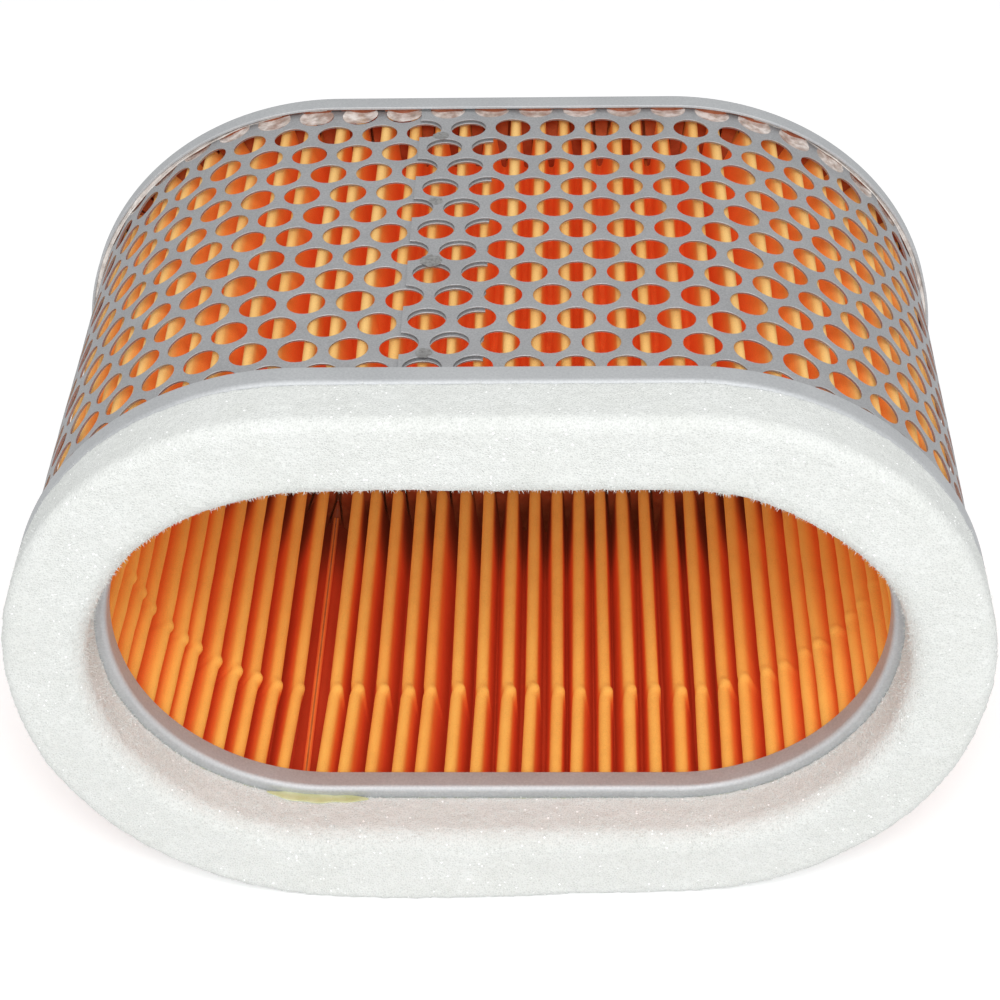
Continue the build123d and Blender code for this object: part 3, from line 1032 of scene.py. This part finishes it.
class GrainGroup:
    """A shared group: fine grain and broad clouds over a surface, as two masks and a height."""

    name = "surface_grain"

    def __init__(self) -> None:
        """Build the group once."""
        self.tree = bpy.data.node_groups.new(self.name, "ShaderNodeTree")
        face = self.tree.interface
        for label, value in (("Grain Size", 0.3 * MM), ("Cloud Size", 12 * MM), ("Grain Sharpness", 1.0)):
            socket = face.new_socket(label, in_out="INPUT", socket_type="NodeSocketFloat")
            socket.default_value = value
        for label in ("Grain", "Clouds", "Height"):
            face.new_socket(label, in_out="OUTPUT", socket_type="NodeSocketFloat")
        nodes = Tree(self.tree)
        given = nodes.add("NodeGroupInput").outputs
        place = nodes.coordinates()
        masks = []
        for size, detail, roughness in (("Grain Size", 3.0, 0.6), ("Cloud Size", 4.0, 0.55)):
            scale = nodes.math("DIVIDE", 1.0, given[size])
            inputs = {"Vector": place, "Scale": scale, "Detail": detail, "Roughness": roughness}
            masks.append(nodes.add("ShaderNodeTexNoise", inputs).outputs["Fac"])
        grain, clouds = masks
        spread = nodes.math("MULTIPLY", nodes.math("SUBTRACT", grain, 0.5), given["Grain Sharpness"])
        sharp = nodes.math("ADD", spread, 0.5)
        height = nodes.math("ADD", sharp, nodes.math("MULTIPLY", clouds, 0.5))
        nodes.feed(nodes.add("NodeGroupOutput"), grain=sharp, clouds=clouds, height=height)

    def use(self, nodes: Tree, grain: float, clouds: float, sharpness: float = 1.0) -> bpy.types.Node:
        """Place the group in a material with its own sizes."""
        node = nodes.add("ShaderNodeGroup")
        node.node_tree = self.tree
        sizes = {"Grain Size": grain, "Cloud Size": clouds, "Grain Sharpness": sharpness}
        for label, value in sizes.items():
            node.inputs[label].default_value = value
        return node


# ------------------------------------------------------------------ finishes
def new_material(name: str, **shader: object) -> tuple[bpy.types.Material, Tree, bpy.types.Node]:
    """Start a material.

    Args:
        name: The material's name.
        shader: Constants for the shader's sockets, with underscores for spaces.

    Returns:
        The material, its node tree and its shader.
    """
    material = bpy.data.materials.new(name)
    material.use_nodes = True
    principled = material.node_tree.nodes["Principled BSDF"]
    for label, value in shader.items():
        principled.inputs[socket_label(label)].default_value = value
    return material, Tree(material.node_tree), principled


@dataclass(frozen=True)
class Steel:
    """Zinc-plated sheet: matt, with a fine speckle and faint broad clouds."""

    name: str
    dark: tuple[float, float, float]
    light: tuple[float, float, float]
    roughness: float = 0.5
    metallic: float = 0.85
    grain: float = 0.3 * MM
    clouds: float = 9 * MM
    bump: float = 0.012 * MM

    def build(self, group: GrainGroup) -> bpy.types.Material:
        """Build the material."""
        material, nodes, shader = new_material(self.name, metallic=self.metallic)
        surface = group.use(nodes, self.grain, self.clouds, 1.6)
        grain, clouds = surface.outputs["Grain"], surface.outputs["Clouds"]
        mixed = nodes.math("ADD", nodes.math("MULTIPLY", grain, 0.6), nodes.math("MULTIPLY", clouds, 0.4))
        nodes.feed(
            shader,
            base_color=nodes.ramp(mixed, [(0.3, self.dark), (0.7, self.light)]),
            roughness=nodes.math("ADD", nodes.math("MULTIPLY", clouds, 0.16), self.roughness - 0.08),
            normal=nodes.bump(surface.outputs["Height"], self.bump),
        )
        return material


@dataclass(frozen=True)
class Paper:
    """Resin-treated filter paper: pale along its folds' crowns as a painted highlight, deep orange-red down
    between them as painted shade, with a painted glow.
    """

    name: str = "orange_filter_paper"
    # Inner side, from crown to deepest: the pale crown colours are a painted highlight and the darker reds
    # further down are painted shade between the folds.
    inside: tuple = (
        (0.0, (0.97, 0.54, 0.12)), (0.09, (0.96, 0.44, 0.09)), (0.22, (0.92, 0.22, 0.042)),
        (0.45, (0.82, 0.115, 0.03)), (1.0, (0.60, 0.06, 0.02)),
    )
    # Outer side, from crown to deepest: the pale yellow crown colours are a painted highlight.
    outside: tuple = (
        (0.0, (0.90, 0.60, 0.23)), (0.08, (0.90, 0.50, 0.15)), (0.2, (0.93, 0.31, 0.06)),
        (0.5, (0.94, 0.23, 0.045)), (1.0, (0.90, 0.15, 0.03)),
    )
    # Painted shade: the inner valleys darken to this colour towards the closed rear end.
    rear_shade: tuple[float, float, float] = (0.20, 0.03, 0.012)
    rear_shade_from: float = 28 * MM
    rear_shade_to: float = 46 * MM
    # Painted glow: the paper emits its own colour at this strength, brightening it as if light came through it.
    glow: float = 0.14

    def build(self, group: GrainGroup) -> bpy.types.Material:
        """Build the material."""
        material, nodes, shader = new_material(
            self.name, roughness=0.78, specular_ior_level=0.25, emission_strength=self.glow,
        )
        surface = group.use(nodes, 0.22 * MM, 7 * MM, 1.5)
        grain, clouds = surface.outputs["Grain"], surface.outputs["Clouds"]
        depth = nodes.add("ShaderNodeAttribute", attribute_name="depth").outputs["Fac"]
        side = nodes.add("ShaderNodeAttribute", attribute_name="outside").outputs["Fac"]
        uneven = nodes.math("MULTIPLY", nodes.math("SUBTRACT", grain, 0.5), 0.05)
        # Colour by depth into the folds: painted highlight on the crowns, painted shade further down on the
        # inner side.
        inner = nodes.ramp(nodes.math("ADD", depth, uneven), self.inside)
        outer = nodes.ramp(nodes.math("ADD", nodes.math("SUBTRACT", 1.0, depth), uneven), self.outside)
        # Painted shade: deep in the inner valleys, the colour darkens towards the rear end.
        toward_rear = nodes.add("ShaderNodeSeparateXYZ", {"Vector": nodes.coordinates()}).outputs["Y"]
        ends = {"Value": toward_rear, "From Min": self.rear_shade_from, "From Max": self.rear_shade_to, "To Max": 0.85}
        rear_shade_mask = nodes.add("ShaderNodeMapRange", ends, interpolation_type="SMOOTHSTEP").outputs["Result"]
        hollow = {"Value": depth, "From Min": 0.06, "From Max": 0.4}
        deep = nodes.add("ShaderNodeMapRange", hollow).outputs["Result"]
        inner = nodes.mix(nodes.math("MULTIPLY", rear_shade_mask, deep), inner, (*self.rear_shade, 1))
        color = nodes.mix(side, inner, outer)
        fibre = nodes.ramp(grain, [(0.25, (0.86, 0.84, 0.80)), (0.75, (1, 1, 1))])
        color = nodes.mix(1.0, color, fibre, "MULTIPLY")
        shade = nodes.ramp(clouds, [(0.3, (0.93, 0.90, 0.88)), (0.7, (1, 1, 1))])
        color = nodes.mix(1.0, color, shade, "MULTIPLY")
        bump = nodes.bump(surface.outputs["Height"], 0.05 * MM)
        # The emission of the paper's own colour is a painted glow.
        nodes.feed(shader, base_color=color, emission_color=color, normal=bump)
        return material


@dataclass(frozen=True)
class Foam:
    """White open-cell foam: painted shade darkens its cells between pale struts, painted glints sparkle here
    and there, and a faint painted glow lifts it all.
    """

    name: str = "white_open_cell_foam"
    cell: float = 0.45 * MM
    glint_size: float = 0.5 * MM
    # The darker pit colour is painted shade inside the foam's cells.
    pit: tuple[float, float, float] = (0.66, 0.67, 0.65)
    strut: tuple[float, float, float] = (0.77, 0.78, 0.76)
    # Painted glow: a faint cool emission all over the foam.
    glow: tuple[float, float, float] = (0.035, 0.045, 0.046)

    def build(self, group: GrainGroup) -> bpy.types.Material:
        """Build the material."""
        material, nodes, shader = new_material(
            self.name, roughness=0.85, sheen_weight=0.15, emission_strength=1.0,
        )
        place = nodes.coordinates()
        surface = group.use(nodes, 0.3 * MM, 6 * MM, 1.4)
        lattice = {"Vector": place, "Scale": 1 / self.cell}
        cells = nodes.add("ShaderNodeTexVoronoi", lattice, feature="DISTANCE_TO_EDGE").outputs["Distance"]
        # Cells darker than the struts round them: painted shade.
        color = nodes.ramp(cells, [(0.02, self.strut), (0.30, self.pit)])
        tone = nodes.ramp(surface.outputs["Clouds"], [(0.3, (0.95, 0.95, 0.94)), (0.7, (1, 1, 1))])
        color = nodes.mix(1.0, color, tone, "MULTIPLY")
        # Painted glints: tiny bright specks that whiten the base colour and glow.
        glint_cells = nodes.add("ShaderNodeTexVoronoi", {"Vector": place, "Scale": 1 / self.glint_size})
        bright = nodes.ramp(glint_cells.outputs["Color"], [(0.86, (0, 0, 0)), (0.9, (1, 1, 1))])
        near = nodes.ramp(glint_cells.outputs["Distance"], [(0.25, (1, 1, 1)), (0.42, (0, 0, 0))])
        spark = nodes.mix(1.0, bright, near, "MULTIPLY")
        gleam = nodes.mix(1.0, spark, (0.2, 0.2, 0.2, 1), "MULTIPLY")
        height = nodes.math("SUBTRACT", surface.outputs["Grain"], nodes.math("MULTIPLY", cells, 2.0))
        nodes.feed(
            # The base colour carries the painted glints; the emission is their painted glow plus the faint
            # painted glow all over.
            shader,
            base_color=nodes.mix(spark, color, (1, 1, 1, 1)),
            emission_color=nodes.mix(1.0, gleam, (*self.glow, 1), "ADD"),
            normal=nodes.bump(height, 0.12 * MM, 0.8),
        )
        return material


@dataclass(frozen=True)
class Adhesive:
    """Poured or brushed adhesive: two tones in soft clouds, with a wet gloss."""

    name: str
    dark: tuple[float, float, float]
    light: tuple[float, float, float]
    roughness: float = 0.25
    clouds: float = 3 * MM
    thin: float = 1.0

    def build(self, group: GrainGroup) -> bpy.types.Material:
        """Build the material. Where thin is under 1, its thinnest places are that opaque."""
        material, nodes, shader = new_material(self.name, roughness=self.roughness, coat_weight=0.3)
        surface = group.use(nodes, 0.4 * MM, self.clouds)
        clouds = surface.outputs["Clouds"]
        color = nodes.ramp(clouds, [(0.35, self.dark), (0.65, self.light)])
        nodes.feed(shader, base_color=color, normal=nodes.bump(clouds, 0.25 * MM))
        if self.thin < 1:
            nodes.feed(shader, alpha=nodes.ramp(clouds, [(0.35, (self.thin,) * 3), (0.6, (1, 1, 1))]))
        return material


# ------------------------------------------------------------------ stage
@dataclass
class Studio:
    """The pale floor, the soft lights and the camera."""

    oval: Oval
    eye: tuple[float, float, float] = (12.64 * MM, -315.01 * MM, 268.97 * MM)
    yaw: float = -0.03744
    pitch: float = 0.65246
    roll: float = -0.02614
    lens: float = 89.64
    sensor: float = 36.0
    floor_gleam: float = 0.32
    sky: float = 0.58
    key_place: tuple[float, float, float] = (0.06, -0.78, 0.85)
    key_size: float = 0.5
    key_power: float = 8.6

    def camera(self) -> None:
        """Set the camera, its eye measured from the middle of the front cap's face."""
        data = bpy.data.cameras.new("camera")
        data.lens = self.lens
        data.sensor_width = self.sensor
        data.clip_start, data.clip_end = 0.02, 20.0
        camera = bpy.data.objects.new("camera", data)
        bpy.context.scene.collection.objects.link(camera)
        ahead = Vector((
            math.sin(self.yaw) * math.cos(self.pitch),
            math.cos(self.yaw) * math.cos(self.pitch),
            -math.sin(self.pitch),
        ))
        level = Vector((math.cos(self.yaw), -math.sin(self.yaw), 0))
        upright = level.cross(ahead)
        right = math.cos(self.roll) * level + math.sin(self.roll) * upright
        up = -math.sin(self.roll) * level + math.cos(self.roll) * upright
        turn = Matrix((right, up, -ahead)).transposed()
        place = Vector(self.eye) + Vector((0, self.oval.front_face, self.oval.axis_height))
        camera.matrix_world = Matrix.Translation(place) @ turn.to_4x4()
        bpy.context.scene.camera = camera

    def key(self) -> None:
        """Hang a square soft light that faces the filter."""
        data = bpy.data.lights.new("key", "AREA")
        data.shape = "SQUARE"
        data.size = self.key_size
        data.energy = self.key_power
        lamp = bpy.data.objects.new("key", data)
        bpy.context.scene.collection.objects.link(lamp)
        lamp.location = self.key_place
        aim = Vector((0, 0, self.oval.axis_height)) - Vector(self.key_place)
        lamp.rotation_euler = aim.to_track_quat("-Z", "Y").to_euler()

    def floor(self) -> None:
        """Lay a white floor that looks brighter to the camera than to the filter."""
        bpy.ops.mesh.primitive_plane_add(size=6)
        floor = newest("floor")
        material, nodes, shader = new_material(
            "white_floor", roughness=0.9, base_color=(0.82, 0.82, 0.82, 1), emission_strength=self.floor_gleam,
        )
        seen = nodes.add("ShaderNodeLightPath").outputs["Is Camera Ray"]
        nodes.feed(shader, emission_color=seen)
        floor.data.materials.append(material)

    def build(self) -> None:
        """Set the floor, the sky, the light and the camera."""
        self.floor()
        world = bpy.data.worlds.new("studio")
        world.use_nodes = True
        background = world.node_tree.nodes["Background"]
        background.inputs["Color"].default_value = (1, 1, 1, 1)
        background.inputs["Strength"].default_value = self.sky
        bpy.context.scene.world = world
        self.key()
        self.camera()
        bpy.context.scene.view_settings.view_transform = "Standard"


# ------------------------------------------------------------------ the whole filter
class Finishes:
    """Every material of the filter, built once."""

    def __init__(self) -> None:
        """Build the shared group and each material."""
        group = GrainGroup()
        self.cap = Steel(
            "cap_steel", (0.53, 0.545, 0.56), (0.63, 0.645, 0.655),
            roughness=0.66, metallic=0.64, grain=0.4 * MM,
        ).build(group)
        self.sheet = Steel(
            "perforated_steel", (0.39, 0.395, 0.405), (0.53, 0.535, 0.545), roughness=0.58, metallic=0.65,
        ).build(group)
        self.weld = Steel(
            "weld_steel", (0.27, 0.265, 0.26), (0.50, 0.50, 0.49), roughness=0.45, metallic=0.8, grain=0.5 * MM,
        ).build(group)
        self.paper = Paper().build(group)
        self.foam = Foam().build(group)
        # The potting adhesive's dark red-brown is partly painted shade: darkened to match the shaded paper
        # between the pleats at the rear.
        self.pour = Adhesive("potting_adhesive", (0.30, 0.07, 0.025), (0.42, 0.12, 0.045), 0.3).build(group)
        self.skin = Adhesive(
            "adhesive_skin", (0.64, 0.55, 0.48), (0.90, 0.84, 0.80), 0.22, clouds=2 * MM, thin=0.62,
        ).build(group)
        self.bead = Adhesive(
            "adhesive_bead", (0.52, 0.46, 0.42), (0.80, 0.75, 0.71), 0.22, clouds=2 * MM,
        ).build(group)
        self.glue = Adhesive("contact_glue", (0.50, 0.52, 0.24), (0.62, 0.64, 0.38), 0.35).build(group)
        self.amber = Adhesive("paper_glue", (0.42, 0.12, 0.03), (0.55, 0.20, 0.06), 0.35).build(group)


def main() -> None:
    """Build every piece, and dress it."""
    logging.basicConfig(level=logging.INFO, format="%(message)s")
    oval = Oval.from_frame()
    finishes = Finishes()
    for node, finish in {
        "front_potting": finishes.pour, "rear_potting": finishes.pour, "gasket_adhesive": finishes.glue,
        "seam_spot_welds": finishes.weld,
    }.items():
        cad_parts[node].data.materials.clear()
        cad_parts[node].data.materials.append(finish)
    caps = EndCaps(oval)
    caps.front(finishes.cap)
    caps.rear(finishes.cap)
    screen = PerforatedScreen(oval)
    screen.build(finishes.sheet)
    ScreenSeam(screen).build(finishes.weld)
    paper = PleatedPaper(oval)
    paper.build(finishes.paper)
    PaperSeam(paper).build(finishes.amber)
    adhesive = RearAdhesive(screen)
    adhesive.bead(finishes.bead)
    adhesive.plugs(finishes.skin)
    foam = FoamGasket(oval).build(finishes.foam)
    FoamFibres(oval).build(foam, finishes.foam)
    GasketGlue(oval).build(finishes.glue)
    Studio(oval).build()


if __name__ == "__main__":
    main()
